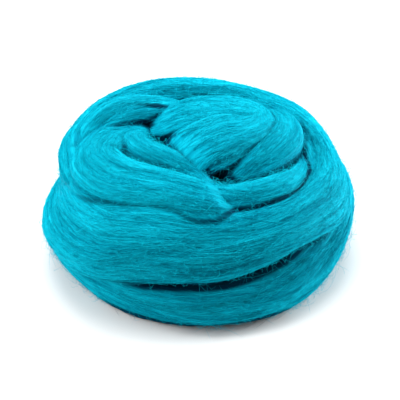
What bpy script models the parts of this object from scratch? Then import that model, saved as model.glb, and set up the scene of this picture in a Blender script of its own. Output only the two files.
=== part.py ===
"""Wool roving wound into a nest.

The roving is one long, soft, untwisted bundle of combed wool. It starts in a flat coil that
lies on the table, climbs in wide turns, and ends folded over itself at the crown. Its middle
line runs through the stations below. Its outline across is that of the locks of wool that lie
side by side in it, which wander slowly round the bundle as it runs. The solid is the outer skin
of all the turns, closed where they press on each other, with a small flat foot where the nest
rests. Stations are in millimetres, from the middle of the nest's foot; MM makes them metres.
"""

import math
from typing import NamedTuple

import bmesh
import bpy
import numpy as np
from mathutils import Matrix, Vector

MM = 0.001

STEP = 3.0  # between two rings of points along the roving
RING_POINTS = 32

# The locks that lie round the middle of the bundle, as shares of its half breadth and half depth.
LOCKS = 9
LOCK_SIZE = 0.5
LOCK_REACH = 0.48
LOCK_WANDER = 0.32  # radians, to either side of a lock's place in the ring
LOCK_WAVE = 190.0  # length over which a lock wanders out and back
CORE_SIZE = 0.8
TWIST_LENGTH = 900.0  # of roving for one turn of its slight twist

# The heart of the nest, where the hidden turns are pressed into one mass, and the bed of the fold
# on top of it.
HEART_MIDDLE = (0.0, 3.0, 26.0)
HEART_RADII = (65.0, 53.0, 23.0)
BED_MIDDLE = (0.0, 14.0, 46.0)
BED_RADII = (40.0, 24.0, 16.0)

FUSE_VOXEL = 1.2  # how finely the turns are joined into one skin
SOFTEN_ROUNDS = 4
KEPT_SHARE = 0.07  # of the joined skin's faces
FOOT_CUT = 0.35  # taken off below, which leaves the foot flat

WOOL_COLOUR = (0.0, 0.33, 0.42, 1.0)
WOOL_ROUGHNESS = 0.8


class Station(NamedTuple):
    """A place along the roving: its middle, how broad and deep it is there, and its lean."""

    x: float
    y: float
    z: float
    breadth: float
    depth: float
    lean_deg: float


# The flat coil underneath, from the roving's first end outwards.
FOOT_COIL = (
    Station(14, -1, 15, 22, 26, 0),
    Station(0, 17, 15, 26, 30, 0),
    Station(-23, 8, 15, 28, 32, 0),
    Station(-20, -20, 15, 28, 32, 0),
    Station(10, -28, 15, 28, 32, 0),
    Station(38, -12, 15, 28, 32, 0),
    Station(43, 17, 15, 28, 32, 0),
    Station(22, 43, 15, 28, 32, 0),
    Station(-12, 50, 15, 30, 32, 0),
)
# The widest turn, which carries the others, and climbs at the back.
FOOT_TURN = (
    Station(-44, 39, 16, 32, 33, 0),
    Station(-66, 15, 17, 34, 37, 0),
    Station(-67, -11, 18, 34, 38, 0),
    Station(-52, -35, 16, 36, 36, 0),
    Station(-26, -52, 12.5, 36, 33, 0),
    Station(6, -57, 10, 37, 27, 0),
    Station(37, -50, 10, 37, 26, 0),
    Station(58, -29, 15, 35, 35, 0),
    Station(69.5, 1, 25, 34, 42, 0),
    Station(63, 31, 29, 34, 38, 0),
    Station(32, 51, 30, 34, 36, 0),
    Station(-5, 58, 32, 32, 34, 0),
    Station(-38, 47, 34, 32, 32, 0),
)
# The thick band across the front.
BELLY_TURN = (
    Station(-60, 17, 35, 42, 32, -36),
    Station(-65, -11, 35, 54, 30, -48),
    Station(-50, -38, 37, 52, 29, -48),
    Station(-23, -49, 42, 45, 28, -46),
    Station(6, -52, 41, 39, 26, -42),
    Station(32.5, -46, 43, 32, 24, -42),
    Station(54, -29, 43, 32, 24, -47),
    Station(68, -3, 40.5, 40, 25, -54),
    Station(64.5, 20, 44.5, 34, 26, -50),
)
# The rim: over the back and round the left, then under the next turn.
RIM_TURN = (
    Station(52, 37, 53, 28, 26, -30),
    Station(32, 49, 56, 28, 26, -20),
    Station(0, 55, 59, 28, 28, 0),
    Station(-34, 48, 58, 28, 30, 0),
    Station(-56, 29, 56, 28, 30, 0),
    Station(-64, 8, 53, 27, 30, 0),
    Station(-58, -9, 49, 28, 26, -6),
    Station(-46, -23, 47, 28, 24, -14),
    Station(-28, -31, 44, 26, 22, -10),
    Station(-8, -29, 41, 20, 18, 0),
    Station(14, -27, 40, 18, 18, 0),
)
# Hidden under the crown, and out again as the thin roll inside the rim at the back left.
SECOND_TURN = (
    Station(34, -19, 40, 20, 20, 0),
    Station(44, 7, 40, 20, 20, 0),
    Station(26, 31, 44, 20, 20, 0),
    Station(-4, 42, 57, 18, 16, 0),
    Station(-24, 38, 64, 22, 18, 0),
    Station(-42, 32, 66, 24, 18, 0),
    Station(-55, 23, 64, 23, 18, 0),
    Station(-63, 10, 57, 18, 16, 0),
    Station(-58, -2, 48, 15, 15, 0),
    Station(-44, -18, 42, 18, 18, 0),
    Station(-10, -27, 40, 18, 18, 0),
    Station(24, -11, 38, 18, 18, 0),
    Station(20, 23, 40, 18, 18, 0),
    Station(-4, 33, 44, 20, 20, 0),
)
# Out of the left hollow, round inside the rim, and down across the front to where it dives.
SWEEP_TURN = (
    Station(-22, 30, 46, 22, 16, 0),
    Station(-36, 25, 58, 32, 18, 0),
    Station(-51, 11.5, 60, 39, 20, -12),
    Station(-56, -5, 58, 40, 22, -26),
    Station(-46, -20, 57.5, 38, 22, -27),
    Station(-29, -29, 58, 35, 21, -22),
    Station(-13, -34, 58, 30, 20, -20),
    Station(2, -39, 57, 26, 20, -20),
    Station(17, -38, 49, 19, 16, 0),
    Station(30, -20, 40, 16, 16, 0),
    Station(14, 5, 40, 16, 16, 0),
    Station(-16, 15, 44, 16, 16, 0),
    Station(-40, 9, 52, 14, 14, 0),
)
# From under the lip, past the front of the eye and up the right side.
EYE_TURN = (
    Station(-43, -3, 56, 14, 14, 0),
    Station(-33, -9, 58, 15, 14, 0),
    Station(-21, -15, 58, 16, 15, 0),
    Station(-9, -23, 57, 16, 16, -10),
    Station(2, -29, 56, 17, 16, -20),
    Station(13, -33, 55.5, 18, 16, -24),
    Station(26, -32, 55.5, 20, 16, -26),
    Station(39, -26.5, 55.5, 20, 16, -30),
    Station(49, -17, 55, 16, 14, -30),
    Station(54.5, -5, 54, 11, 12, -20),
    Station(54, 11, 50, 11, 12, 0),
    Station(47, 26, 46, 13, 14, 0),
    Station(20, 39, 40, 16, 16, 0),
    Station(-16, 37, 42, 16, 16, 0),
)
# The lip on the left of the eye, which dives into it.
LIP = (
    Station(-22, 26, 46, 18, 14, 0),
    Station(-33, 18, 57, 22, 16, 0),
    Station(-37, 9, 61, 24, 17, -4),
    Station(-34.5, 0, 62, 25, 18, -10),
    Station(-27, -6, 61.5, 25, 18, -15),
    Station(-15, -12.5, 60, 25, 18, -20),
    Station(0, -22, 56, 20, 16, 0),
    Station(8, -29, 45, 14, 14, 0),
)
# Up out of the eye and round its right side, then under the crown.
CHEEK = (
    Station(14, -12, 42, 20, 18, 0),
    Station(24, -7, 53, 28, 24, 0),
    Station(35, 1, 58, 31, 24, 0),
    Station(43, 11, 60, 29, 22, 0),
    Station(45, 25, 59, 26, 22, 0),
    Station(37, 39, 56, 22, 22, 0),
    Station(24, 47, 52, 20, 20, 0),
    Station(-4, 45, 48, 18, 18, 0),
)
# The fold on top: out to the right, back on itself, and down behind the lip.
CROWN = (
    Station(-12, 34, 48, 16, 16, 0),
    Station(-21, 25, 60, 20, 16, 0),
    Station(-10, 27, 65, 30, 17, 0),
    Station(8, 28, 66, 35, 18, 0),
    Station(22, 27.5, 66, 31, 18, 0),
    Station(29, 24, 66, 27, 18, 0),
    Station(31.5, 19.5, 66, 26, 18, 0),
    Station(28, 14.5, 66, 30, 18.5, 0),
    Station(12, 7, 66, 41, 20, 0),
    Station(-3, -1, 63, 40, 19, 0),
    Station(-13, -7, 52, 38, 16, 0),
)
ROVING = (
    FOOT_COIL
    + FOOT_TURN
    + BELLY_TURN
    + RIM_TURN
    + SECOND_TURN
    + SWEEP_TURN
    + EYE_TURN
    + LIP
    + CHEEK
    + CROWN
)


def smooth_path(rows, step):
    """Rows at every step along a smooth curve through the rows, and how far along each one is."""
    rows = np.array(rows, float)
    chords = np.linalg.norm(np.diff(rows[:, :3], axis=0), axis=1)
    knots = np.concatenate([[0.0], np.cumsum(chords)])
    slopes = np.gradient(rows, knots, axis=0)
    along = np.linspace(0.0, knots[-1], round(knots[-1] / step) + 1)
    span = np.clip(np.searchsorted(knots, along, side="right") - 1, 0, len(knots) - 2)
    length = (knots[span + 1] - knots[span])[:, None]
    t = (along - knots[span])[:, None] / length
    path = (
        rows[span] * (2 * t**3 - 3 * t**2 + 1)
        + slopes[span] * length * (t**3 - 2 * t**2 + t)
        + rows[span + 1] * (3 * t**2 - 2 * t**3)
        + slopes[span + 1] * length * (t**3 - t**2)
    )
    return path, along


def section_axes(path):
    """The directions across the breadth and the depth of the bundle at each point of the path."""
    ahead = np.gradient(path[:, :3], axis=0)
    ahead /= np.linalg.norm(ahead, axis=1)[:, None]
    level = np.cross(ahead, (0.0, 0.0, 1.0))
    level /= np.linalg.norm(level, axis=1)[:, None]
    upright = np.cross(level, ahead)
    lean = np.radians(path[:, 5])[:, None]
    across = level * np.cos(lean) + upright * np.sin(lean)
    through = upright * np.cos(lean) - level * np.sin(lean)
    return across, through


def lock_outline(along, angles):
    """How far the skin is from the middle, as a share, for each place along and each angle."""
    rays = np.stack([np.cos(angles), np.sin(angles)], axis=1)
    reach = np.full((len(along), len(angles)), CORE_SIZE)
    for lock in range(LOCKS):
        wave = 2 * math.pi * along / (LOCK_WAVE * (1 + 0.13 * (lock % 4)))
        sway = LOCK_WANDER * np.sin(wave + 2.4 * lock)
        bearing = 2 * math.pi * (lock / LOCKS + along / TWIST_LENGTH) + sway
        out = LOCK_REACH + 0.05 * np.sin(1.7 * wave + 1.1 * lock)
        middle = np.stack([np.cos(bearing), np.sin(bearing)], axis=1) * out[:, None]
        near = middle @ rays.T
        aside = (middle**2).sum(axis=1)[:, None] - near**2
        inside = np.clip(LOCK_SIZE**2 - aside, 0.0, None)
        far = np.where(inside > 0, near + np.sqrt(inside), 0.0)
        reach = np.maximum(reach, far)
    return reach


def roving_rings():
    """The rings of points on the roving's skin, as an array of (ring, point, xyz)."""
    path, along = smooth_path(ROVING, STEP)
    across, through = section_axes(path)
    angles = np.linspace(0.0, 2 * math.pi, RING_POINTS, endpoint=False)
    reach = lock_outline(along, angles)
    breadth = reach * np.cos(angles) * path[:, 3:4] / 2
    depth = reach * np.sin(angles) * path[:, 4:5] / 2
    rings = path[:, None, :3] + breadth[..., None] * across[:, None] + depth[..., None] * through[:, None]
    rings[..., 2] = np.maximum(rings[..., 2], 0.0)  # the table presses the lowest turn flat
    return rings


def add_roving(shape):
    """The roving's skin, from its first end to its last."""
    rings = [[shape.verts.new(point) for point in ring] for ring in roving_rings().tolist()]
    for ring, after in zip(rings, rings[1:]):
        for side in range(RING_POINTS):
            ahead = (side + 1) % RING_POINTS
            shape.faces.new((ring[side], ring[ahead], after[ahead], after[side]))
    shape.faces.new(reversed(rings[0]))
    shape.faces.new(rings[-1])


def add_mass(shape, middle, radii):
    """A rounded mass of hidden wool that the turns are wound on."""
    place = Matrix.Translation(middle) @ Matrix.Diagonal((*radii, 1.0))
    bmesh.ops.create_icosphere(shape, subdivisions=4, radius=1.0, matrix=place)


def fused_skin(nest):
    """The mesh of the nest's object once its turns are joined, softened and thinned."""
    fuse = nest.modifiers.new("fuse", "REMESH")
    fuse.mode = "VOXEL"
    fuse.voxel_size = FUSE_VOXEL
    soften = nest.modifiers.new("soften", "SMOOTH")
    soften.iterations = SOFTEN_ROUNDS
    thin = nest.modifiers.new("thin", "DECIMATE")
    thin.ratio = KEPT_SHARE
    finished = nest.evaluated_get(bpy.context.evaluated_depsgraph_get())
    return bpy.data.meshes.new_from_object(finished)


def joined_faces(start):
    """All the faces that can be reached from one face over shared edges."""
    found = {start}
    edge_of_search = [start]
    while edge_of_search:
        face = edge_of_search.pop()
        for edge in face.edges:
            for other in edge.link_faces:
                if other not in found:
                    found.add(other)
                    edge_of_search.append(other)
    return found


def keep_outer_skin(shape):
    """Drop the sealed pockets between the turns, which leaves only the largest skin."""
    left = set(shape.faces)
    skins = []
    while left:
        skin = joined_faces(next(iter(left)))
        skins.append(skin)
        left -= skin
    outer = max(skins, key=len)
    inner = [face for face in shape.faces if face not in outer]
    bmesh.ops.delete(shape, geom=inner, context="FACES")


def cut_foot(shape):
    """Slice the underside level and close it."""
    low = min(vert.co.z for vert in shape.verts)
    everything = shape.verts[:] + shape.edges[:] + shape.faces[:]
    cut = bmesh.ops.bisect_plane(
        shape,
        geom=everything,
        dist=0.0001,
        plane_co=(0.0, 0.0, low + FOOT_CUT),
        plane_no=(0.0, 0.0, 1.0),
        clear_inner=True,
    )
    rim = [item for item in cut["geom_cut"] if isinstance(item, bmesh.types.BMEdge)]
    bmesh.ops.triangle_fill(shape, edges=rim, use_beauty=True)
    bmesh.ops.triangulate(shape, faces=shape.faces[:])
    bmesh.ops.recalc_face_normals(shape, faces=shape.faces[:])


def settle(shape):
    """Put the middle of the nest's foot at the origin and turn millimetres into metres."""
    points = np.array([vert.co for vert in shape.verts])
    low = points.min(axis=0)
    high = points.max(axis=0)
    middle = Vector(((low[0] + high[0]) / 2, (low[1] + high[1]) / 2, low[2]))
    bmesh.ops.translate(shape, verts=shape.verts[:], vec=-middle)
    bmesh.ops.scale(shape, verts=shape.verts[:], vec=(MM, MM, MM))


def wool():
    material = bpy.data.materials.new("teal wool")
    material.use_nodes = True
    surface = material.node_tree.nodes["Principled BSDF"]
    surface.inputs["Base Color"].default_value = WOOL_COLOUR
    surface.inputs["Roughness"].default_value = WOOL_ROUGHNESS
    surface.inputs["Metallic"].default_value = 0.0
    return material


def build_nest():
    """The whole nest as one closed skin in one object."""
    shape = bmesh.new()
    add_roving(shape)
    add_mass(shape, HEART_MIDDLE, HEART_RADII)
    add_mass(shape, BED_MIDDLE, BED_RADII)
    turns = bpy.data.meshes.new("roving")
    shape.to_mesh(turns)
    shape.free()
    nest = bpy.data.objects.new("roving", turns)
    bpy.context.scene.collection.objects.link(nest)
    skin = fused_skin(nest)
    nest.modifiers.clear()
    nest.data = skin
    bpy.data.meshes.remove(turns)
    skin.name = "roving"

    shape = bmesh.new()
    shape.from_mesh(skin)
    keep_outer_skin(shape)
    cut_foot(shape)
    settle(shape)
    shape.to_mesh(skin)
    shape.free()
    skin.shade_smooth()
    skin.materials.append(wool())


for old in list(bpy.data.objects):
    bpy.data.objects.remove(old)

build_nest()
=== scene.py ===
"""Wool roving wound into a nest, dressed with its combed fibres."""

import math
from typing import NamedTuple

import bpy
import numpy as np
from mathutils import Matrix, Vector
from mathutils.bvhtree import BVHTree


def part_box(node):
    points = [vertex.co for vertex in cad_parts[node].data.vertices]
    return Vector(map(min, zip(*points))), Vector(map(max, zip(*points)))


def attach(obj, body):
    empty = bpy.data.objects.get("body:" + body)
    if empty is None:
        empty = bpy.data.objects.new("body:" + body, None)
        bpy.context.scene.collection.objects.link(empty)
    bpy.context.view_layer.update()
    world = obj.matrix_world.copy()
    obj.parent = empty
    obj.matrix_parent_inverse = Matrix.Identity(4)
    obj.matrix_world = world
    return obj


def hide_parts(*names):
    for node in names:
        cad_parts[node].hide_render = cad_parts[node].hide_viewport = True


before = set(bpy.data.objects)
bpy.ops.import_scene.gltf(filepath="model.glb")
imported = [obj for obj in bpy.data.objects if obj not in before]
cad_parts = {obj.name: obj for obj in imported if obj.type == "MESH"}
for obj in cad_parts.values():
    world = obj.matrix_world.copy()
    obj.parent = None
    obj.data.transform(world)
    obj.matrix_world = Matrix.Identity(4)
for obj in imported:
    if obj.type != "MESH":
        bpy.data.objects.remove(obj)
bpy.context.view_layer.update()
bpy.ops.object.select_all(action="DESELECT")

# ----------------------------------------------------------------------------------------------
# The wound roving: one long untwisted band of combed wool, wound into a nest from the flat coil
# underneath to the fold on top. It is swept along its middle line as a soft tube, and its
# outline across is that of the locks of wool that lie side by side in it.

MM = 0.001
SKIN_STEP = 2.2  # between two rings of points along the roving
SKIN_POINTS = 48  # in each ring
MAP_COLUMNS = 5  # that the skin is laid out in on its map
COLUMN_MARGIN = 0.01  # left free on either side of a column, as a share of it
TINY = 1e-12  # keeps a direction from being divided by nothing

LOCKS = 9
LOCK_SIZE = 0.5
LOCK_REACH = 0.48
LOCK_WANDER = 0.32  # radians, to either side of a lock's place in the ring
LOCK_WAVE = 190.0  # length over which a lock wanders out and back
WAVE_STEP = 0.13  # by which the waves of the locks differ in length, as a share
WAVE_TURN = 2.4  # radians from one lock's wave to the next one's
REACH_WAVE = 0.05  # to either side of a lock's reach
REACH_PACE = 1.7  # waves of a lock's reach to each wave of its wandering
REACH_TURN = 1.1  # radians from one lock's reach to the next one's
CORE_SIZE = 0.8
TWIST_LENGTH = 900.0  # of roving for one turn of its slight twist

# Painted shade: the skin's colour is darkened where rays from it soon meet other turns, in creases
# and hollows.
PROBE = 0.9 * MM  # how far off the skin the tests for open air and for light start
MOST_SKINS = 40  # that a line out of the nest can pass through
PAST_SKIN = 1e-6  # how far past one skin the search for the next one starts
SHELTER_RAYS = 32  # sent out from each point of the skin
CREASE_REACH = 5 * MM  # what is nearer than this makes a crease
CREASE_FULL = 0.42  # share of the light kept away by what is this near, in the darkest creases
HOLLOW_REACH = 14 * MM  # what is nearer than this makes a hollow
HOLLOW_FROM = 0.85  # share of the light kept away, from which a wide hollow darkens
SHELTER_SPREAD = 8  # points that the darkness is carried in under the other turns
SHELTER_BLUR = 1  # rounds
MOST_SHELTER = 0.62  # of any crease but the hard ones below
CREASE_EDGE = 1.5  # how steeply a hard crease fades: it is full over a third of its reach


class Crease(NamedTuple):
    """A point along a crease and how far the painted shade reaches out of it, in mm; depth is a
    share.
    """

    x: float
    y: float
    z: float
    reach: float
    depth: float


# Painted shade, where the turns are drawn hardest together and where the nest meets the table: each
# group is a row of points along one crease.
CREASE_SHADE_LINES = (
    (  # in under the turn across the top, from the front round to the right
        Crease(13, -46, 58, 2.4, 0.55),
        Crease(20, -41, 57, 3.0, 0.78),
        Crease(28, -40, 57, 2.8, 0.72),
        Crease(37, -37, 58, 2.8, 0.74),
        Crease(45, -32, 58, 2.8, 0.74),
        Crease(52, -24, 57, 2.8, 0.78),
        Crease(57, -15, 57, 2.8, 0.80),
        Crease(60, -5, 57, 3.0, 0.82),
        Crease(58, 8, 57, 2.8, 0.72),
        Crease(58, 17, 58, 2.6, 0.66),
        Crease(58, 27, 61, 2.6, 0.55),
    ),
    (  # between the belly turn and the foot turn
        Crease(-48, -57, 23, 3.5, 0.35),
        Crease(-38, -60, 23, 4.2, 0.55),
        Crease(-28, -62, 24, 5.5, 0.80),
        Crease(-14, -63, 25, 6.5, 0.95),
        Crease(1, -62, 24, 7.0, 1.00),
        Crease(12, -60, 24, 8.0, 1.00),
        Crease(22, -56, 24, 8.5, 1.00),
        Crease(33, -50, 25, 8.5, 1.00),
        Crease(44, -46, 28, 7.5, 0.95),
        Crease(55, -40, 31, 5.5, 0.80),
        Crease(65, -33, 33, 4.5, 0.60),
    ),
    (  # from the pit beside the crown along the roll to the eye in the middle
        Crease(-24, 17, 59, 7.0, 1.00),
        Crease(-18, 8, 62, 5.5, 1.00),
        Crease(-9, -6, 67, 3.0, 0.65),
        Crease(-4, -13, 66, 3.0, 0.65),
        Crease(4, -16, 63, 4.0, 0.90),
        Crease(8, -16, 59, 8.0, 0.95),
        Crease(12, -14, 53, 10.0, 0.95),
        Crease(18, -19, 56, 7.0, 1.00),
    ),
    (  # round the left, in under the rim, to the other pit beside the crown
        Crease(-69, 5, 65, 3.0, 0.40),
        Crease(-59, 13, 68, 3.5, 0.45),
        Crease(-49, 17, 69, 3.2, 0.42),
        Crease(-39, 22, 67, 4.0, 0.85),
        Crease(-30, 26, 64, 6.0, 1.00),
    ),
    (  # a fold along the rim above the first pit
        Crease(-59, 36, 69, 2.5, 0.30),
        Crease(-49, 31, 74, 2.5, 0.40),
        Crease(-41, 32, 74, 2.5, 0.45),
        Crease(-31, 32, 73, 2.6, 0.50),
        Crease(-22, 33, 72, 3.2, 0.85),
        Crease(-18, 34, 71, 2.5, 0.60),
    ),
    (  # a fold of the crown that runs up out of the second pit
        Crease(-21, 16, 60, 5.0, 0.95),
        Crease(-15, 11, 66, 3.5, 0.80),
        Crease(-10, 9, 71, 2.5, 0.50),
        Crease(-4, 9, 74, 2.0, 0.30),
    ),
    (  # between the crown and the cheek beside it
        Crease(15, -8, 59, 5.0, 0.90),
        Crease(22, -8, 65, 2.5, 0.42),
        Crease(28, -3, 68, 2.5, 0.32),
        Crease(35, 4, 70, 2.5, 0.36),
        Crease(40, 13, 71, 3.0, 0.45),
        Crease(41, 27, 69, 3.0, 0.45),
        Crease(39, 39, 66, 3.0, 0.35),
    ),
    (  # under the sweep, along its lower edge
        Crease(-65, -23, 52, 3.0, 0.45),
        Crease(-57, -30, 54, 3.5, 0.55),
        Crease(-48, -34, 57, 3.0, 0.50),
        Crease(-40, -38, 58, 3.0, 0.45),
        Crease(-24, -42, 60, 3.0, 0.40),
        Crease(-12, -46, 59, 3.2, 0.50),
        Crease(0, -50, 56, 3.4, 0.58),
        Crease(9, -50, 56, 3.4, 0.60),
        Crease(16, -45, 57, 3.2, 0.60),
    ),
    (  # in the hook where the second roll begins
        Crease(-41, 5, 69, 2.5, 0.40),
        Crease(-40, -1, 69, 3.0, 0.65),
        Crease(-40, -7, 68, 3.0, 0.70),
        Crease(-37, -9, 67, 3.0, 0.60),
        Crease(-31, -12, 66, 2.5, 0.45),
        Crease(-23, -15, 65, 2.5, 0.40),
    ),
    # a painted contact shadow along the lowest edge of the foot turn
    (  # under the front, where the foot turn meets the table
        Crease(-50, -53, 3, 5.0, 0.70),
        Crease(-34, -62, 2, 7.5, 0.95),
        Crease(-10, -69, 1, 8.0, 1.00),
        Crease(10, -70, 2, 8.0, 1.00),
        Crease(30, -67, 3, 7.5, 0.95),
        Crease(46, -61, 4, 5.0, 0.70),
    ),
)


class Station(NamedTuple):
    """A place along the roving: its middle, how broad and deep it is there, and its lean."""

    x: float
    y: float
    z: float
    breadth: float
    depth: float
    lean_deg: float


# The flat coil underneath, from the roving's first end outwards.
FOOT_COIL = (
    Station(14, -1, 15, 22, 26, 0),
    Station(0, 17, 15, 26, 30, 0),
    Station(-23, 8, 15, 28, 32, 0),
    Station(-20, -20, 15, 28, 32, 0),
    Station(10, -28, 15, 28, 32, 0),
    Station(38, -12, 15, 28, 32, 0),
    Station(43, 17, 15, 28, 32, 0),
    Station(22, 43, 15, 28, 32, 0),
    Station(-12, 50, 15, 30, 32, 0),
)
# The widest turn, which carries the others, and climbs at the back.
FOOT_TURN = (
    Station(-44, 39, 16, 32, 33, 0),
    Station(-66, 15, 17, 34, 37, 0),
    Station(-67, -11, 18, 34, 38, 0),
    Station(-52, -35, 16, 36, 36, 0),
    Station(-26, -52, 12.5, 36, 33, 0),
    Station(6, -57, 10, 37, 27, 0),
    Station(37, -50, 10, 37, 26, 0),
    Station(58, -29, 15, 35, 35, 0),
    Station(69.5, 1, 25, 34, 42, 0),
    Station(63, 31, 29, 34, 38, 0),
    Station(32, 51, 30, 34, 36, 0),
    Station(-5, 58, 32, 32, 34, 0),
    Station(-38, 47, 34, 32, 32, 0),
)
# The thick band across the front.
BELLY_TURN = (
    Station(-60, 17, 35, 42, 32, -36),
    Station(-65, -11, 35, 54, 30, -48),
    Station(-50, -38, 37, 52, 29, -48),
    Station(-23, -49, 42, 45, 28, -46),
    Station(6, -52, 41, 39, 26, -42),
    Station(32.5, -46, 43, 32, 24, -42),
    Station(54, -29, 43, 32, 24, -47),
    Station(68, -3, 40.5, 40, 25, -54),
    Station(64.5, 20, 44.5, 34, 26, -50),
)
# The rim: over the back and round the left, then under the next turn.
RIM_TURN = (
    Station(52, 37, 53, 28, 26, -30),
    Station(32, 49, 56, 28, 26, -20),
    Station(0, 55, 59, 28, 28, 0),
    Station(-34, 48, 58, 28, 30, 0),
    Station(-56, 29, 56, 28, 30, 0),
    Station(-64, 8, 53, 27, 30, 0),
    Station(-58, -9, 49, 28, 26, -6),
    Station(-46, -23, 47, 28, 24, -14),
    Station(-28, -31, 44, 26, 22, -10),
    Station(-8, -29, 41, 20, 18, 0),
    Station(14, -27, 40, 18, 18, 0),
)
# Hidden under the crown, and out again as the thin roll inside the rim at the back left.
SECOND_TURN = (
    Station(34, -19, 40, 20, 20, 0),
    Station(44, 7, 40, 20, 20, 0),
    Station(26, 31, 44, 20, 20, 0),
    Station(-4, 42, 57, 18, 16, 0),
    Station(-24, 38, 64, 22, 18, 0),
    Station(-42, 32, 66, 24, 18, 0),
    Station(-55, 23, 64, 23, 18, 0),
    Station(-63, 10, 57, 18, 16, 0),
    Station(-58, -2, 48, 15, 15, 0),
    Station(-44, -18, 42, 18, 18, 0),
    Station(-10, -27, 40, 18, 18, 0),
    Station(24, -11, 38, 18, 18, 0),
    Station(20, 23, 40, 18, 18, 0),
    Station(-4, 33, 44, 20, 20, 0),
)
# Out of the left hollow, round inside the rim, and down across the front to where it dives.
SWEEP_TURN = (
    Station(-22, 30, 46, 22, 16, 0),
    Station(-36, 25, 58, 32, 18, 0),
    Station(-51, 11.5, 60, 39, 20, -12),
    Station(-56, -5, 58, 40, 22, -26),
    Station(-46, -20, 57.5, 38, 22, -27),
    Station(-29, -29, 58, 35, 21, -22),
    Station(-13, -34, 58, 30, 20, -20),
    Station(2, -39, 57, 26, 20, -20),
    Station(17, -38, 49, 19, 16, 0),
    Station(30, -20, 40, 16, 16, 0),
    Station(14, 5, 40, 16, 16, 0),
    Station(-16, 15, 44, 16, 16, 0),
    Station(-40, 9, 52, 14, 14, 0),
)
# From under the lip, past the front of the eye and up the right side.
EYE_TURN = (
    Station(-43, -3, 56, 14, 14, 0),
    Station(-33, -9, 58, 15, 14, 0),
    Station(-21, -15, 58, 16, 15, 0),
    Station(-9, -23, 57, 16, 16, -10),
    Station(2, -29, 56, 17, 16, -20),
    Station(13, -33, 55.5, 18, 16, -24),
    Station(26, -32, 55.5, 20, 16, -26),
    Station(39, -26.5, 55.5, 20, 16, -30),
    Station(49, -17, 55, 16, 14, -30),
    Station(54.5, -5, 54, 11, 12, -20),
    Station(54, 11, 50, 11, 12, 0),
    Station(47, 26, 46, 13, 14, 0),
    Station(20, 39, 40, 16, 16, 0),
    Station(-16, 37, 42, 16, 16, 0),
)
# The lip on the left of the eye, which dives into it.
LIP = (
    Station(-22, 26, 46, 18, 14, 0),
    Station(-33, 18, 57, 22, 16, 0),
    Station(-37, 9, 61, 24, 17, -4),
    Station(-34.5, 0, 62, 25, 18, -10),
    Station(-27, -6, 61.5, 25, 18, -15),
    Station(-15, -12.5, 60, 25, 18, -20),
    Station(0, -22, 56, 20, 16, 0),
    Station(8, -29, 45, 14, 14, 0),
)
# Up out of the eye and round its right side, then under the crown.
CHEEK = (
    Station(14, -12, 42, 20, 18, 0),
    Station(24, -7, 53, 28, 24, 0),
    Station(35, 1, 58, 31, 24, 0),
    Station(43, 11, 60, 29, 22, 0),
    Station(45, 25, 59, 26, 22, 0),
    Station(37, 39, 56, 22, 22, 0),
    Station(24, 47, 52, 20, 20, 0),
    Station(-4, 45, 48, 18, 18, 0),
)
# The fold on top: out to the right, back on itself, and down behind the lip.
CROWN = (
    Station(-12, 34, 48, 16, 16, 0),
    Station(-21, 25, 60, 20, 16, 0),
    Station(-10, 27, 65, 30, 17, 0),
    Station(8, 28, 66, 35, 18, 0),
    Station(22, 27.5, 66, 31, 18, 0),
    Station(29, 24, 66, 27, 18, 0),
    Station(31.5, 19.5, 66, 26, 18, 0),
    Station(28, 14.5, 66, 30, 18.5, 0),
    Station(12, 7, 66, 41, 20, 0),
    Station(-3, -1, 63, 40, 19, 0),
    Station(-13, -7, 52, 38, 16, 0),
)
ROVING = (
    FOOT_COIL
    + FOOT_TURN
    + BELLY_TURN
    + RIM_TURN
    + SECOND_TURN
    + SWEEP_TURN
    + EYE_TURN
    + LIP
    + CHEEK
    + CROWN
)


def smooth_path(rows, step):
    """Rows at every step along a smooth curve through the rows, and how far along each one is."""
    rows = np.array(rows, float)
    chords = np.linalg.norm(np.diff(rows[:, :3], axis=0), axis=1)
    knots = np.concatenate([[0.0], np.cumsum(chords)])
    slopes = np.gradient(rows, knots, axis=0)
    along = np.linspace(0.0, knots[-1], round(knots[-1] / step) + 1)
    span = np.clip(np.searchsorted(knots, along, side="right") - 1, 0, len(knots) - 2)
    length = (knots[span + 1] - knots[span])[:, None]
    t = (along - knots[span])[:, None] / length
    path = (
        rows[span] * (2 * t**3 - 3 * t**2 + 1)
        + slopes[span] * length * (t**3 - 2 * t**2 + t)
        + rows[span + 1] * (3 * t**2 - 2 * t**3)
        + slopes[span + 1] * length * (t**3 - t**2)
    )
    return path, along


def section_axes(path):
    """The directions across the breadth and the depth of the bundle at each point of the path."""
    ahead = np.gradient(path[:, :3], axis=0)
    ahead /= np.linalg.norm(ahead, axis=1)[:, None]
    level = np.cross(ahead, (0.0, 0.0, 1.0))
    level /= np.linalg.norm(level, axis=1)[:, None]
    upright = np.cross(level, ahead)
    lean = np.radians(path[:, 5])[:, None]
    across = level * np.cos(lean) + upright * np.sin(lean)
    through = upright * np.cos(lean) - level * np.sin(lean)
    return across, through


def lock_outline(along, angles):
    """How far the skin is from the middle, as a share, for each place along and each angle."""
    rays = np.stack([np.cos(angles), np.sin(angles)], axis=1)
    reach = np.full((len(along), len(angles)), CORE_SIZE)
    for lock in range(LOCKS):
        wave = 2 * math.pi * along / (LOCK_WAVE * (1 + WAVE_STEP * (lock % 4)))
        sway = LOCK_WANDER * np.sin(wave + WAVE_TURN * lock)
        bearing = 2 * math.pi * (lock / LOCKS + along / TWIST_LENGTH) + sway
        out = LOCK_REACH + REACH_WAVE * np.sin(REACH_PACE * wave + REACH_TURN * lock)
        middle = np.stack([np.cos(bearing), np.sin(bearing)], axis=1) * out[:, None]
        near = middle @ rays.T
        aside = (middle**2).sum(axis=1)[:, None] - near**2
        inside = np.clip(LOCK_SIZE**2 - aside, 0.0, None)
        far = np.where(inside > 0, near + np.sqrt(inside), 0.0)
        reach = np.maximum(reach, far)
    return reach


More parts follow.
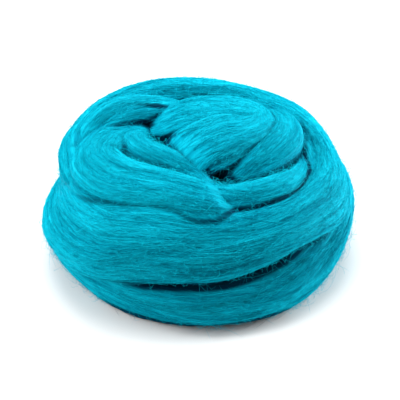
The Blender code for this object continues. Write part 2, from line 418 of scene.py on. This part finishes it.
def wound_skin():
    """The skin in metres and the same points as if the roving lay straight, by ring and side."""
    path, along = smooth_path(ROVING, SKIN_STEP)
    across, through = section_axes(path)
    angles = np.linspace(0.0, 2 * math.pi, SKIN_POINTS, endpoint=False)
    reach = lock_outline(along, angles)
    breadth = reach * np.cos(angles) * path[:, 3:4] / 2
    depth = reach * np.sin(angles) * path[:, 4:5] / 2
    sideways = breadth[..., None] * across[:, None]
    upwards = depth[..., None] * through[:, None]
    skin = path[:, None, :3] + sideways + upwards
    skin[..., 2] = np.maximum(skin[..., 2], 0.0)  # the table presses the lowest turn flat
    straight = np.stack([breadth, depth, np.broadcast_to(along[:, None], breadth.shape)], axis=-1)
    return skin * MM, straight * MM


def centred_on_frame(skin):
    """The skin moved level so that its middle is the frame's."""
    low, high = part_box("roving")
    middle = (np.array(low) + np.array(high)) / 2
    own = (skin.min(axis=(0, 1)) + skin.max(axis=(0, 1))) / 2
    skin[..., :2] += (middle - own)[:2]
    return skin


def skin_faces(rings, points):
    """The four-sided faces between the rings, each by its corners' numbers."""
    ring = np.arange(rings - 1)[:, None] * points
    side = np.arange(points)[None, :]
    ahead = (side + 1) % points
    near, far = ring, ring + points
    return np.stack([near + side, far + side, far + ahead, near + ahead], axis=-1)


def add_layer(mesh, name, kind, values):
    """Values that the material reads, one for each point."""
    layer = mesh.attributes.new(name, kind, "POINT")
    key = "vector" if kind == "FLOAT_VECTOR" else "value"
    layer.data.foreach_set(key, np.ascontiguousarray(values, np.float32).ravel())


def add_map(mesh, corners):
    """The map that the finished piece is painted through."""
    layer = mesh.uv_layers.new(name="OFBake")
    layer.data.foreach_set("uv", np.ascontiguousarray(corners, np.float32).ravel())


def laid_out(rings, points):
    """The map's corners for the faces of the skin: its length is cut into columns side by side."""
    rows = math.ceil((rings - 1) / MAP_COLUMNS)
    ring = np.arange(rings - 1)[:, None]
    side = np.arange(points)[None, :]
    wide = 1 - 2 * COLUMN_MARGIN
    corners = []
    for up, over in ((0, 0), (1, 0), (1, 1), (0, 1)):
        u = (ring // rows + COLUMN_MARGIN + wide * (side + over) / points) / MAP_COLUMNS
        v = (ring % rows + up + 0 * side) / rows
        corners.append(np.stack([u, v], axis=-1))
    return np.stack(corners, axis=2).reshape(-1, 2)


def closed_tube(rings, points):
    """All the faces of the skin, its two ends among them."""
    faces = skin_faces(rings, points).reshape(-1, 4).tolist()
    first_end = list(range(points))
    last_end = list(range((rings - 1) * points, rings * points))[::-1]
    return faces + [first_end, last_end]


def outward(skin):
    """Which way is out, at each point of the skin."""
    around = np.roll(skin, -1, axis=1) - np.roll(skin, 1, axis=1)
    ahead = np.gradient(skin, axis=0)
    out = np.cross(ahead, around)
    return out / np.maximum(np.linalg.norm(out, axis=-1, keepdims=True), TINY)


def turns_round(turns, start, way):
    """How many turns of the roving hold this point inside them."""
    count = 0
    for _ in range(MOST_SKINS):
        hit, normal, _, _ = turns.ray_cast(start, way)
        if hit is None:
            break
        count += 1 if normal.dot(way) > 0 else -1
        start = hit + way * PAST_SKIN
    return count


def rays_of_light():
    """Directions spread evenly over the half of space round +Z, the upright ones more often."""
    number = np.arange(SHELTER_RAYS)
    flat = np.sqrt((number + 0.5) / SHELTER_RAYS)
    turn = number * math.pi * (3 - math.sqrt(5))
    return np.stack([flat * np.cos(turn), flat * np.sin(turn), np.sqrt(1 - flat**2)], axis=1)


def shelter_of(skin, out):
    """Two grids over the skin: 1 where it shows and 0 under another turn, and how dark it is
    painted, as shade from the turns close by.
    """
    rings, points = skin.shape[:2]
    turns = BVHTree.FromPolygons(skin.reshape(-1, 3).tolist(), closed_tube(rings, points))
    around = np.roll(skin, -1, axis=1) - np.roll(skin, 1, axis=1)
    first = around / np.linalg.norm(around, axis=-1, keepdims=True)
    second = np.cross(out, first)
    rays = rays_of_light()
    shows = np.zeros((rings, points))
    dark = np.ones((rings, points))
    starts = skin + out * PROBE
    for ring in range(rings):
        for side in range(points):
            start = Vector(starts[ring, side])
            way = out[ring, side]
            if turns_round(turns, start, Vector(way)) > 0:
                continue
            shows[ring, side] = 1.0
            ways = rays @ np.stack([first[ring, side], second[ring, side], way])
            gaps = [turns.ray_cast(start, ray, HOLLOW_REACH)[3] for ray in ways.tolist()]
            crease = sum(gap is not None and gap < CREASE_REACH for gap in gaps) / SHELTER_RAYS
            hollow = sum(gap is not None for gap in gaps) / SHELTER_RAYS
            dark[ring, side] = max(crease / CREASE_FULL, (hollow - HOLLOW_FROM) / (1 - HOLLOW_FROM))
    return shows, np.minimum(softened(spread_under(shows, dark)), MOST_SHELTER)


def with_crease_shade(places, painted_shade):
    """The painted shade at these places, darker wherever one of the hard creases reaches them."""
    dark = painted_shade
    for crease in CREASE_SHADE_LINES:
        for start, end in zip(crease[:-1], crease[1:]):
            corner = np.array(start[:3]) * MM
            side = np.array(end[:3]) * MM - corner
            share = np.clip((places - corner) @ side / (side @ side), 0.0, 1.0)
            gap = np.linalg.norm(places - corner - share[..., None] * side, axis=-1)
            reach = (start.reach + share * (end.reach - start.reach)) * MM
            near = np.clip(CREASE_EDGE * (1 - gap / reach), 0.0, 1.0)
            depth = start.depth + share * (end.depth - start.depth)
            dark = np.maximum(dark, depth * near * near * (3 - 2 * near))
    return dark


def spread_under(shows, dark):
    """Carries the painted shade of the open skin a little way in under the other turns."""
    known = shows.copy()
    total = dark * shows
    for _ in range(SHELTER_SPREAD):
        beside = np.roll(total, 1, axis=1) + np.roll(total, -1, axis=1)
        weight = np.roll(known, 1, axis=1) + np.roll(known, -1, axis=1)
        beside[1:] += total[:-1]
        weight[1:] += known[:-1]
        beside[:-1] += total[1:]
        weight[:-1] += known[1:]
        fresh = (known == 0) & (weight > 0)
        total[fresh] = (beside / np.maximum(weight, 1))[fresh]
        known[fresh] = 1.0
    return total


def softened(dark):
    """The same painted shade with its edges blurred over the neighbouring points."""
    for _ in range(SHELTER_BLUR):
        dark = (2 * dark + np.roll(dark, 1, axis=1) + np.roll(dark, -1, axis=1)) / 4
        dark[1:-1] = (2 * dark[1:-1] + dark[:-2] + dark[2:]) / 4
    return dark


def skin_piece(name, skin, straight, dark):
    """The whole skin as one closed piece."""
    rings, points = skin.shape[:2]
    mesh = bpy.data.meshes.new(name)
    mesh.from_pydata(skin.reshape(-1, 3).tolist(), [], closed_tube(rings, points))
    add_layer(mesh, "combed", "FLOAT_VECTOR", straight)
    add_layer(mesh, "painted_shade", "FLOAT", dark)
    corners = laid_out(rings, points)
    add_map(mesh, np.concatenate([corners, np.zeros((2 * points, 2))]))
    mesh.shade_smooth()
    piece = bpy.data.objects.new(name, mesh)
    bpy.context.scene.collection.objects.link(piece)
    return piece


def node(tree, kind, place, **inputs):
    """A shader node with its sockets set by name."""
    made = tree.nodes.new(kind)
    made.location = place
    for socket, value in inputs.items():
        made.inputs[socket.replace("_", " ")].default_value = value
    return made


def stretched_noise(tree, vector, place, across, along):
    """Noise whose spots are as wide as across and as long as along, in metres."""
    squeeze = tree.nodes.new("ShaderNodeVectorMath")
    squeeze.operation = "MULTIPLY"
    squeeze.location = (place[0] - 200, place[1])
    squeeze.inputs[1].default_value = (1 / across, 1 / across, 1 / along)
    tree.links.new(vector, squeeze.inputs[0])
    noise = node(tree, "ShaderNodeTexNoise", place, Scale=1.0, Detail=2.0, Roughness=0.6)
    tree.links.new(squeeze.outputs[0], noise.inputs["Vector"])
    return noise.outputs["Fac"]


def weighted_sum(tree, terms, start):
    """start plus each output times its weight."""
    total = None
    for x, (output, weight) in enumerate(terms):
        step = tree.nodes.new("ShaderNodeMath")
        step.operation = "MULTIPLY_ADD"
        step.location = (200 + 180 * x, -300)
        tree.links.new(output, step.inputs[0])
        step.inputs[1].default_value = weight
        if total is None:
            step.inputs[2].default_value = start
        else:
            tree.links.new(total, step.inputs[2])
        total = step.outputs[0]
    return total


DYE = (
    (0.00, (0.000, 0.110, 0.190, 1.0)),
    (0.35, (0.000, 0.290, 0.410, 1.0)),
    (0.65, (0.003, 0.490, 0.630, 1.0)),
    (1.00, (0.006, 0.700, 0.860, 1.0)),
)
# Painted shade in the creases: there the wool's colour is multiplied towards this dark tint, from
# where a crease begins to where it is deepest, its edge made ragged by the wisps.
CREASE_SHADE_TINT = (0.05, 0.03, 0.09, 1.0)  # what a deep crease leaves of the colour
CREASE_FROM, CREASE_TO = 0.15, 0.8  # the shelter at which a crease begins and is deepest
DEEPEST_CREASE = 0.95
WISPS_IN_CREASE = 0.3  # how ragged the wisps make the edge of a crease

# (how wide and how long the changes of shade are, in metres)
LOCK_SPOTS = (0.0040, 0.090)
WISP_SPOTS = (0.0012, 0.035)
FIBRE_SPOTS = (0.0006, 0.012)

STRAND_WEIGHT = 0.35  # how much a fibre's own shade counts in the colour
SPOTS_WEIGHT = 0.6  # how much each kind of spots counts in the colour
SHADE_START = -0.55
# painted shade: the skin under the fibres gets a darker strand, standing in for the shadow the
# fibre layer casts on it
SHADED_SKIN_STRAND = 0.1  # the shade under the fibres
WISP_RANGE = (0.2, 0.8)
ROUGHNESS = (0.75, 0.5)  # over that range of the wisps
LOCK_HEIGHT, WISP_HEIGHT, FIBRE_HEIGHT = 0.9, 0.7, 0.35
RELIEF = 0.0006  # metres, from the lowest to the highest fibre


def wool_and_shade_group():
    """Dyed wool: how its colour, shine and height change from fibre to fibre, and the painted shade
    that darkens its colour in the creases.
    """
    tree = bpy.data.node_groups.new("dyed wool and painted shade", "ShaderNodeTree")
    tree.interface.new_socket("Combed", in_out="INPUT", socket_type="NodeSocketVector")
    tree.interface.new_socket("Strand", in_out="INPUT", socket_type="NodeSocketFloat")
    tree.interface.new_socket("Painted shade", in_out="INPUT", socket_type="NodeSocketFloat")
    tree.interface.new_socket("Colour", in_out="OUTPUT", socket_type="NodeSocketColor")
    tree.interface.new_socket("Roughness", in_out="OUTPUT", socket_type="NodeSocketFloat")
    tree.interface.new_socket("Height", in_out="OUTPUT", socket_type="NodeSocketFloat")
    given = tree.nodes.new("NodeGroupInput")
    given.location = (-700, 0)
    result = tree.nodes.new("NodeGroupOutput")
    result.location = (1400, 0)
    combed = given.outputs["Combed"]
    locks = stretched_noise(tree, combed, (-200, 300), *LOCK_SPOTS)
    wisps = stretched_noise(tree, combed, (-200, 0), *WISP_SPOTS)
    fibres = stretched_noise(tree, combed, (-200, -300), *FIBRE_SPOTS)
    own = (given.outputs["Strand"], STRAND_WEIGHT)
    spots = tuple((output, SPOTS_WEIGHT) for output in (locks, wisps, fibres))
    shade = weighted_sum(tree, (own,) + spots, SHADE_START)
    ramp = node(tree, "ShaderNodeValToRGB", (900, 200))
    stops = ramp.color_ramp.elements
    for _ in DYE[2:]:
        stops.new(0.5)
    for stop, (position, colour) in zip(stops, DYE):
        stop.position = position
        stop.color = colour
    tree.links.new(shade, ramp.inputs["Fac"])
    # painted shade: how deep the crease darkening is, made ragged at its edge by the wisps
    crease = node(
        tree,
        "ShaderNodeMapRange",
        (900, 450),
        From_Min=CREASE_FROM,
        From_Max=CREASE_TO,
        To_Min=0.0,
        To_Max=DEEPEST_CREASE,
    )
    crease.interpolation_type = "SMOOTHSTEP"
    sheltered = ((given.outputs["Painted shade"], 1.0), (wisps, WISPS_IN_CREASE))
    ragged = weighted_sum(tree, sheltered, -WISPS_IN_CREASE / 2)
    tree.links.new(ragged, crease.inputs["Value"])
    # painted shade: multiplies the wool's colour towards the dark crease tint
    deep = tree.nodes.new("ShaderNodeMix")
    deep.data_type = "RGBA"
    deep.blend_type = "MULTIPLY"
    deep.location = (1150, 300)
    tree.links.new(crease.outputs["Result"], deep.inputs["Factor"])
    tree.links.new(ramp.outputs["Color"], deep.inputs[6])
    deep.inputs[7].default_value = CREASE_SHADE_TINT
    tree.links.new(deep.outputs[2], result.inputs["Colour"])
    rough = node(
        tree,
        "ShaderNodeMapRange",
        (900, -200),
        From_Min=WISP_RANGE[0],
        From_Max=WISP_RANGE[1],
        To_Min=ROUGHNESS[0],
        To_Max=ROUGHNESS[1],
    )
    tree.links.new(wisps, rough.inputs["Value"])
    tree.links.new(rough.outputs["Result"], result.inputs["Roughness"])
    heights = ((locks, LOCK_HEIGHT), (wisps, WISP_HEIGHT), (fibres, FIBRE_HEIGHT))
    height = weighted_sum(tree, heights, 0.0)
    tree.links.new(height, result.inputs["Height"])
    return tree


def wool_material(name, dye_and_shade, strand_layer, bump):
    """A wool material that reads the piece's combed places, its painted shade, and its strands
    where it has them.
    """
    material = bpy.data.materials.new(name)
    material.use_nodes = True
    tree = material.node_tree
    surface = tree.nodes["Principled BSDF"]
    surface.inputs["Metallic"].default_value = 0.0
    surface.inputs["Specular IOR Level"].default_value = 0.06
    surface.inputs["Specular Tint"].default_value = (0.0, 0.75, 0.95, 1.0)
    surface.inputs["Sheen Weight"].default_value = 0.1
    surface.inputs["Sheen Roughness"].default_value = 0.5
    surface.inputs["Sheen Tint"].default_value = (0.0, 0.7, 0.9, 1.0)
    combed = tree.nodes.new("ShaderNodeAttribute")
    combed.attribute_name = "combed"
    combed.location = (-700, 100)
    wool = tree.nodes.new("ShaderNodeGroup")
    wool.node_tree = dye_and_shade
    wool.location = (-400, 100)
    wool.inputs["Strand"].default_value = SHADED_SKIN_STRAND
    tree.links.new(combed.outputs["Vector"], wool.inputs["Combed"])
    # painted shade of the creases, read from the piece's own values
    painted_shade = tree.nodes.new("ShaderNodeAttribute")
    painted_shade.attribute_name = "painted_shade"
    painted_shade.location = (-700, -300)
    tree.links.new(painted_shade.outputs["Fac"], wool.inputs["Painted shade"])
    if strand_layer:
        strand = tree.nodes.new("ShaderNodeAttribute")
        strand.attribute_name = strand_layer
        strand.location = (-700, -100)
        tree.links.new(strand.outputs["Fac"], wool.inputs["Strand"])
    tree.links.new(wool.outputs["Colour"], surface.inputs["Base Color"])
    tree.links.new(wool.outputs["Roughness"], surface.inputs["Roughness"])
    if bump:
        relief = node(tree, "ShaderNodeBump", (-150, -200), Strength=1.0, Distance=bump)
        tree.links.new(wool.outputs["Height"], relief.inputs["Height"])
        tree.links.new(relief.outputs["Normal"], surface.inputs["Normal"])
    return material


skin, straight = wound_skin()
skin = centred_on_frame(skin)
out_of_skin = outward(skin)
open_skin, dark_skin = shelter_of(skin, out_of_skin)
wool_and_shade = wool_and_shade_group()
# the skin's colour carries the painted shade of its creases and hollows
wound_roving = skin_piece("wound_roving", skin, straight, with_crease_shade(skin, dark_skin))
wound_roving.data.materials.append(wool_material("combed wool", wool_and_shade, "", RELIEF))
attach(wound_roving, "root")
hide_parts("roving")

# ----------------------------------------------------------------------------------------------
# The combed fibres: the outermost fibres of each turn, which run along the roving, drift a
# little across it and dip back in. They are thin closed tubes laid on the skin wherever it
# shows, and none is laid where one turn lies against another.

FIBRE_KNOTS = 7  # points along a fibre, its two tips among them
FIBRE_LENGTHS = (0.6, 1.4)  # as shares of the usual length in a lay
DRIFT = 0.03  # of the way round the roving, usual for a fibre from its middle to a tip
BEND = 0.02  # of the way round the roving
FIBRE_OPEN = 0.4  # least share of open skin under any point of a fibre
STEEPEST_SHADE = 0.35  # change of shelter along one fibre
FIBRE_LIFT = (0.1, 0.4)  # mm off the skin in its middle
PROUD_SHARE, PROUD_LIFT = 0.1, 0.4  # some fibres lie this much prouder, in mm
FIBRE_SUNK = 0.35  # mm that its tips dip into the skin
FIBRE_RADII = (0.1, 0.17)  # mm
FIBRE_SEED = 11
TUBE_SIDES = 3
STRIP_SHAPE = 12  # rows of a piece's map for each column, when it is laid out square
STRIP_MARGIN = 0.02  # left free round a tube's strip of the map, as a share of it


def between(grid, ring, side):
    """The grid's value at places between its rings and sides."""
    ring = np.clip(ring, 0, len(grid) - 1.001)
    low = np.floor(ring).astype(int)
    left = np.floor(side).astype(int)
    up = (ring - low).reshape(ring.shape + (1,) * (grid.ndim - 2))
    over = (side - left).reshape(side.shape + (1,) * (grid.ndim - 2))
    right = (left + 1) % grid.shape[1]
    left = left % grid.shape[1]
    near = grid[low, left] * (1 - over) + grid[low, right] * over
    far = grid[low + 1, left] * (1 - over) + grid[low + 1, right] * over
    return near * (1 - up) + far * up


def tube_faces(knots):
    """One closed tube's faces by point number, and their corners on its strip of the map."""
    sides, faces, corners = TUBE_SIDES, [], []
    last = 1 + sides * (knots - 2)
    for ring in range(knots - 3):
        for side in range(sides):
            ahead = (side + 1) % sides
            base = 1 + sides * ring
            faces.append((base + side, base + ahead, base + sides + ahead, base + sides + side))
            corners += [(ring + 1, side), (ring + 1, side + 1)]
            corners += [(ring + 2, side + 1), (ring + 2, side)]
    for side in range(sides):
        ahead = (side + 1) % sides
        faces.append((0, 1 + ahead, 1 + side))
        corners += [(0, side + 0.5), (1, side + 1), (1, side)]
        faces.append((last, last - sides + side, last - sides + ahead))
        corners += [(knots - 1, side + 0.5), (knots - 2, side), (knots - 2, side + 1)]
    return faces, np.array(corners) / (knots - 1, sides)


def tube_piece(name, middles, ups, radii, combed, dark, strand):
    """Many closed tubes as one piece, each along its row of middles and pointed at both tips."""
    count, knots = middles.shape[:2]
    ahead = np.gradient(middles, axis=1)
    aside = np.cross(ahead, ups)
    aside /= np.maximum(np.linalg.norm(aside, axis=-1, keepdims=True), TINY)
    over = np.cross(aside, ahead)
    over /= np.maximum(np.linalg.norm(over, axis=-1, keepdims=True), TINY)
    inner = slice(1, knots - 1)
    rings = []
    for side in range(TUBE_SIDES):
        turn = math.pi / 2 - 2 * math.pi * side / TUBE_SIDES
        offset = aside[:, inner] * math.cos(turn) + over[:, inner] * math.sin(turn)
        rings.append(middles[:, inner] + offset * radii[:, inner, None])
    rings = np.stack(rings, axis=2).reshape(count, -1, 3)
    points = np.concatenate([middles[:, :1], rings, middles[:, -1:]], axis=1)
    points[..., 2] = np.maximum(points[..., 2], 0.0)
    each = points.shape[1]
    faces, corners = tube_faces(knots)
    made = [[number + each * tube for number in face] for tube in range(count) for face in faces]
    mesh = bpy.data.meshes.new(name)
    mesh.from_pydata(points.reshape(-1, 3).tolist(), [], made)
    of_knot = np.concatenate([[0], np.repeat(np.arange(1, knots - 1), TUBE_SIDES), [knots - 1]])
    add_layer(mesh, "combed", "FLOAT_VECTOR", combed[:, of_knot])
    add_layer(mesh, "painted_shade", "FLOAT", dark[:, of_knot])
    add_layer(mesh, "strand", "FLOAT", np.repeat(strand, each))
    columns = max(1, round(math.sqrt(count / STRIP_SHAPE)))
    rows = math.ceil(count / columns)
    cell = np.stack([np.arange(count) % columns, np.arange(count) // columns], axis=1)
    inside = STRIP_MARGIN + (1 - 2 * STRIP_MARGIN) * corners
    laid = (cell[:, None] + inside[None]) / (columns, rows)
    add_map(mesh, laid)
    mesh.shade_smooth()
    piece = bpy.data.objects.new(name, mesh)
    bpy.context.scene.collection.objects.link(piece)
    return piece


def laid_fibres(chance, first, last, count, length):
    """Places along fibres on the open skin between two shares of the roving's length."""
    wanted = count
    kept = []
    low, high = round(first * (len(skin) - 1)), round(last * (len(skin) - 1))
    while wanted > 0:
        tries = 3 * wanted + 500
        ring = chance.uniform(low, high, tries)
        side = chance.uniform(0, SKIN_POINTS, tries)
        long = length * chance.uniform(*FIBRE_LENGTHS, tries)
        drift = chance.standard_t(3.0, tries) * SKIN_POINTS * DRIFT
        bend = chance.normal(0.0, 1.0, tries) * SKIN_POINTS * BEND
        share = np.linspace(-0.5, 0.5, FIBRE_KNOTS)
        rings = ring[:, None] + share * long[:, None] / SKIN_STEP
        sides = side[:, None] + 2 * share * drift[:, None] + bend[:, None] * (4 * share**2)
        shows = between(open_skin, rings, sides)
        shade = between(dark_skin, rings, sides)
        good = (shows.min(axis=1) > FIBRE_OPEN) & (np.ptp(shade, axis=1) < STEEPEST_SHADE)
        kept.append(np.stack([rings[good], sides[good]], axis=-1)[:wanted])
        wanted -= len(kept[-1])
    return np.concatenate(kept)


class FibreLay(NamedTuple):
    """A stretch of the roving, from and to as shares of its length, and the fibres on it."""

    name: str
    first: float
    last: float
    count: int
    length: float  # usual, in mm
    spread: float  # how much their shades differ


# (name, first, last, count, length, spread)
FIBRE_LAYS = (
    FibreLay("foot_fibres", 0.0, 0.27, 5400, 46.0, 1.0),
    FibreLay("belly_fibres", 0.27, 0.43, 5400, 46.0, 1.0),
    FibreLay("rim_fibres", 0.43, 0.72, 5400, 40.0, 0.75),
    FibreLay("crown_fibres", 0.72, 1.0, 5400, 30.0, 0.3),
)

fibre_wool = wool_material("wool fibre", wool_and_shade, "strand", 0.0)

for number, lay in enumerate(FIBRE_LAYS):
    chance = np.random.default_rng(FIBRE_SEED + number)
    places = laid_fibres(chance, lay.first, lay.last, lay.count, lay.length)
    rings, sides = places[..., 0], places[..., 1]
    middles = between(skin, rings, sides)
    ups = between(out_of_skin, rings, sides)
    arch = 1 - np.linspace(-1, 1, FIBRE_KNOTS) ** 4
    lift = chance.uniform(*FIBRE_LIFT, lay.count)
    lift = lift + (chance.random(lay.count) < PROUD_SHARE) * PROUD_LIFT
    height = (lift[:, None] + FIBRE_SUNK) * arch - FIBRE_SUNK
    middles = middles + ups * height[..., None] * MM
    radii = chance.uniform(*FIBRE_RADII, lay.count)[:, None] * MM * np.ones(FIBRE_KNOTS)
    combed = between(straight, rings, sides)
    # the fibres carry the painted shade of the creases and hollows under them
    dark = with_crease_shade(middles, between(dark_skin, rings, sides))
    strand = 0.5 + lay.spread * (chance.random(lay.count) - 0.5)
    fibres = tube_piece(lay.name, middles, ups, radii, combed, dark, strand)
    fibres.data.materials.append(fibre_wool)
    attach(fibres, "root")

# ----------------------------------------------------------------------------------------------
# The fuzz: short hairs all over the wool, and fewer long ones that have worked free and stand a
# little off the nest. Each is one closed tube that springs from the open skin and arches over.

HAIR_REACH = 8.0 * MM  # the farthest that a hair stands out past the nest
PLACES_TRIED = 12  # for each hair
ROOT_OPEN = 0.9  # least share of open skin at a root
ROOT_SHELTER = 0.4  # most shelter at a root, so that none grows out of a crease
HAIR_TURN = 0.7  # radians away from the lay of the wool, usual
HAIR_CURL = 0.25  # sideways, as a share of the hair's length
HAIR_ARCH = 0.75  # of half a wave, from root to tip
HAIR_SUNK = 0.3  # mm that its root lies in the skin
HAIR_SHADE = (0.75, 0.15)  # usual, and how much it differs
HAIR_SEED = 71


class HairCoat(NamedTuple):
    """One kind of hair, with its sizes in mm."""

    name: str
    count: int
    knots: int  # points along one
    shortest: float
    longest: float
    rise: float  # off the skin, half of the usual
    radius: float


# (name, count, knots, shortest, longest, rise, radius)
HAIR_COATS = (
    HairCoat("short_fuzz", 29000, 3, 2.5, 7.0, 0.8, 0.08),
    HairCoat("loose_hairs", 2600, 5, 8.0, 22.0, 0.8, 0.05),
)


def kept_in_reach(root, middles):
    """The hairs, with those that would stand out past the reach shortened towards their roots."""
    root = root[:, None]
    lowest = skin.min(axis=(0, 1)) - HAIR_REACH
    highest = skin.max(axis=(0, 1)) + HAIR_REACH
    away = middles - root
    room = np.where(away > 0, highest - root, root - lowest)
    longer = (np.abs(away) / room).max(axis=(1, 2), keepdims=True)
    return root + away / np.maximum(longer, 1.0)


def coat_of_hair(chance, coat):
    """Middles, ups and combed places of hairs that start on the open skin, and their painted shade.
    """
    tries = coat.count * PLACES_TRIED
    ring = chance.uniform(0, len(skin) - 1, tries)
    side = chance.uniform(0, SKIN_POINTS, tries)
    painted_shade = with_crease_shade(between(skin, ring, side), between(dark_skin, ring, side))
    good = (between(open_skin, ring, side) > ROOT_OPEN) & (painted_shade < ROOT_SHELTER)
    ring, side = ring[good][: coat.count], side[good][: coat.count]
    root = between(skin, ring, side)
    up = between(out_of_skin, ring, side)
    ahead = between(np.gradient(skin, axis=0), ring, side)
    ahead /= np.linalg.norm(ahead, axis=1)[:, None]
    turn = chance.normal(0.0, HAIR_TURN, coat.count)[:, None]
    way = ahead * np.cos(turn) + np.cross(ahead, up) * np.sin(turn)
    way *= chance.choice((-1.0, 1.0), coat.count)[:, None]
    long = chance.uniform(coat.shortest, coat.longest, coat.count)[:, None, None] * MM
    rise = chance.gamma(2.0, coat.rise, coat.count)[:, None, None] * MM
    curl = chance.normal(0.0, HAIR_CURL, coat.count)[:, None, None]
    share = np.linspace(0.0, 1.0, coat.knots)[None, :, None]
    sideways = np.cross(way, up)
    middles = (
        root[:, None]
        + way[:, None] * long * share
        + sideways[:, None] * long * curl * share**2
        + up[:, None] * (rise * np.sin(share * math.pi * HAIR_ARCH) - HAIR_SUNK * MM)
    )
    middles = kept_in_reach(root, middles)
    ups = np.repeat(up[:, None], coat.knots, axis=1)
    combed = np.repeat(between(straight, ring, side)[:, None], coat.knots, axis=1)
    dark = np.repeat(painted_shade[good][: coat.count, None], coat.knots, axis=1)
    # the hairs carry the painted shade of the creases
    return middles, ups, combed, with_crease_shade(middles, dark)


for number, coat in enumerate(HAIR_COATS):
    chance = np.random.default_rng(HAIR_SEED + number)
    middles, ups, combed, dark = coat_of_hair(chance, coat)
    radii = np.full((coat.count, coat.knots), coat.radius * MM)
    strand = np.clip(chance.normal(*HAIR_SHADE, coat.count), 0, 1)
    hairs = tube_piece(coat.name, middles, ups, radii, combed, dark, strand)
    hairs.data.materials.append(fibre_wool)
    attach(hairs, "root")

# ----------------------------------------------------------------------------------------------
# The table: a plain pale surface under the nest.

TABLE_SIZE = 4.0
TABLE_COLOUR = (0.75, 0.76, 0.76, 1.0)

bpy.ops.object.select_all(action="DESELECT")
bpy.ops.mesh.primitive_plane_add(size=TABLE_SIZE, location=(0.0, 0.0, 0.0))
table = bpy.context.object
table.name = "table"
paint = bpy.data.materials.new("pale table")
paint.use_nodes = True
paint_surface = paint.node_tree.nodes["Principled BSDF"]
paint_surface.inputs["Base Color"].default_value = TABLE_COLOUR
paint_surface.inputs["Roughness"].default_value = 0.8
table.data.materials.append(paint)

# ----------------------------------------------------------------------------------------------
# Light: three soft square lamps in pale air, one high and a little behind the nest, one on its
# left and a low one on its right.

LIT_POINT = (0.0, 0.0, 0.03)  # that the lamps face
AIR_COLOUR = (1.0, 1.0, 1.0, 1.0)
AIR_STRENGTH = 0.32

world = bpy.data.worlds.new("pale air")
world.use_nodes = True
world.node_tree.nodes["Background"].inputs["Color"].default_value = AIR_COLOUR
world.node_tree.nodes["Background"].inputs["Strength"].default_value = AIR_STRENGTH
bpy.context.scene.world = world
bpy.context.scene.view_settings.view_transform = "Standard"


def soft_light(name, place, size, power):
    """A square lamp that faces the nest."""
    bpy.ops.object.light_add(type="AREA", location=place)
    lamp = bpy.context.object
    lamp.name = name
    lamp.data.size = size
    lamp.data.energy = power
    facing = Vector(LIT_POINT) - Vector(place)
    lamp.rotation_euler = facing.to_track_quat("-Z", "Y").to_euler()


soft_light("back", (-0.05, 0.4, 0.95), 0.8, 13.2)
soft_light("left", (-0.7, -0.1, 0.48), 0.6, 7.8)
soft_light("right", (0.85, 0.25, 0.3), 0.5, 13.5)

# ----------------------------------------------------------------------------------------------
# The camera looks down on the nest from the front.

CAMERA_TARGET = Vector((0.0008, 0.003, 0.029))
CAMERA_DISTANCE = 0.8
CAMERA_HEIGHT_DEG = 38.0
VIEW_WIDTH = 0.2236  # that fills the picture at the target
SENSOR_WIDTH = 36.0  # mm

rise = math.radians(CAMERA_HEIGHT_DEG)
place = CAMERA_TARGET + Vector((0.0, -math.cos(rise), math.sin(rise))) * CAMERA_DISTANCE
bpy.ops.object.camera_add(location=place, rotation=(math.pi / 2 - rise, 0.0, 0.0))
camera = bpy.context.object
camera.data.sensor_width = SENSOR_WIDTH
camera.data.lens = camera.data.sensor_width * CAMERA_DISTANCE / VIEW_WIDTH
bpy.context.scene.camera = camera
